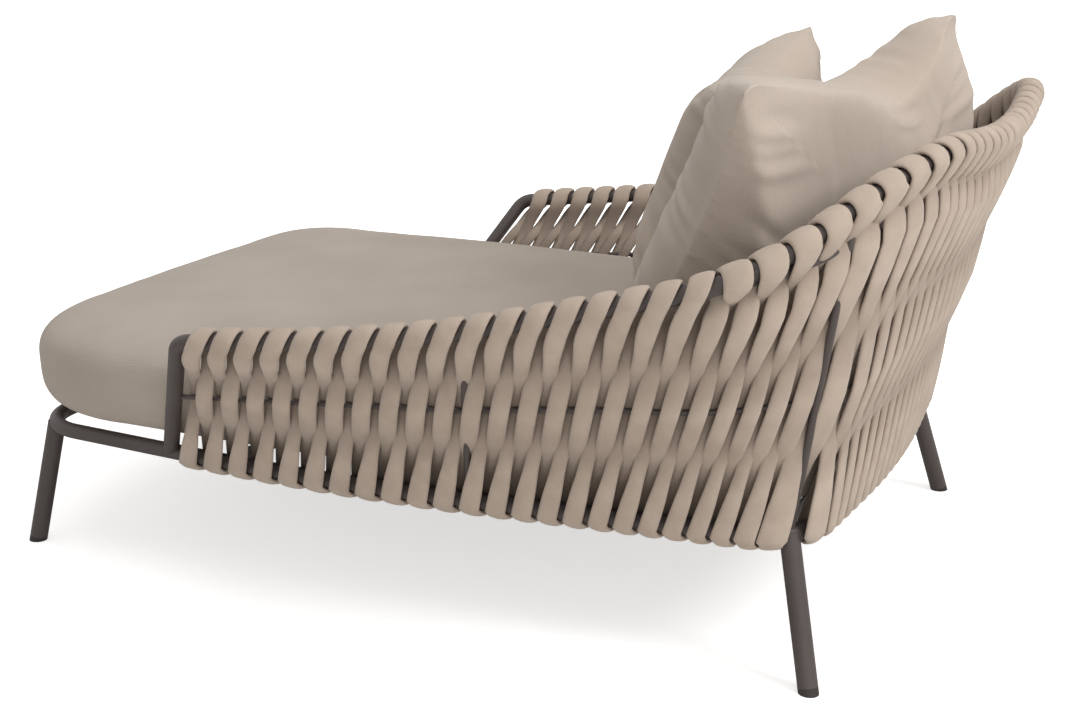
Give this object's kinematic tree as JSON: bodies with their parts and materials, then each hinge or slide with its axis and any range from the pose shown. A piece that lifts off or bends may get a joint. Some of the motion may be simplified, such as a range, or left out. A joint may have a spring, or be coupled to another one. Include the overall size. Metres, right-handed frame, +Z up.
{
  "type": "outdoor daybed",
  "caption": "Outdoor daybed: a low wall of woven belts round a bent tube frame on splayed legs, with a thick seat cushion and loose pillows",
  "frame": {"origin": "on the floor, midway along the overall length and width of the daybed at rest", "axes": "+Y points from the foot end to the back, +X to the sitter's left, +Z up"},
  "size_m": [1.483, 1.8827, 1.0414],
  "materials": {
    "frame_coating": "dark brown powder coat with a fine matt grain on bent steel or aluminium tube",
    "glide_plastic": "moulded matt dark plastic",
    "belt_webbing": "flat woven taupe outdoor webbing with a fine rib",
    "cushion_fabric": "plain-woven taupe outdoor fabric over foam",
    "pillow_fabric": "plain-woven beige outdoor fabric over loose filling"
  },
  "bodies": {
    "frame": {"base_front_tube": "frame_coating", "base_left_tube": "frame_coating", "base_back_tube": "frame_coating", "base_right_tube": "frame_coating", "left_arm_rail": "frame_coating", "back_top_rail": "frame_coating", "right_arm_rail": "frame_coating", "upper_back_rail": "frame_coating", "left_arm_middle_rail": "frame_coating", "left_corner_middle_rail": "frame_coating", "back_middle_rail": "frame_coating", "right_corner_middle_rail": "frame_coating", "right_arm_middle_rail": "frame_coating", "left_side_upright": "frame_coating", "right_side_upright": "frame_coating", "left_corner_upright": "frame_coating", "right_corner_upright": "frame_coating", "front_left_leg": "frame_coating", "front_right_leg": "frame_coating", "back_left_leg": "frame_coating", "back_right_leg": "frame_coating", "cross_bar_1": "frame_coating", "cross_bar_2": "frame_coating", "cross_bar_3": "frame_coating", "cross_bar_4": "frame_coating", "seat_slats": "frame_coating", "front_left_glide": "glide_plastic", "front_right_glide": "glide_plastic", "back_left_glide": "glide_plastic", "back_right_glide": "glide_plastic", "left_arm_belts": "belt_webbing", "left_corner_belts": "belt_webbing", "back_belts": "belt_webbing", "right_corner_belts": "belt_webbing", "right_arm_belts": "belt_webbing"},
    "cushion": {"seat_cushion": "cushion_fabric"},
    "pillow_behind": {"rear_pillow": "pillow_fabric"},
    "pillow_ahead": {"front_pillow": "pillow_fabric"}
  },
  "joints": [
    {"name": "seat_lift", "type": "slide", "parent": "frame", "child": "cushion", "axis": [0, 0, 1], "range_m": [0, 0.45]},
    {"name": "rear_pillow_lift", "type": "slide", "parent": "cushion", "child": "pillow_behind", "axis": [0, 0, 1], "range_m": [0, 0.4]},
    {"name": "front_pillow_lift", "type": "slide", "parent": "pillow_behind", "child": "pillow_ahead", "axis": [0, -0.454, 0.891], "range_m": [0, 0.4]}
  ]
}
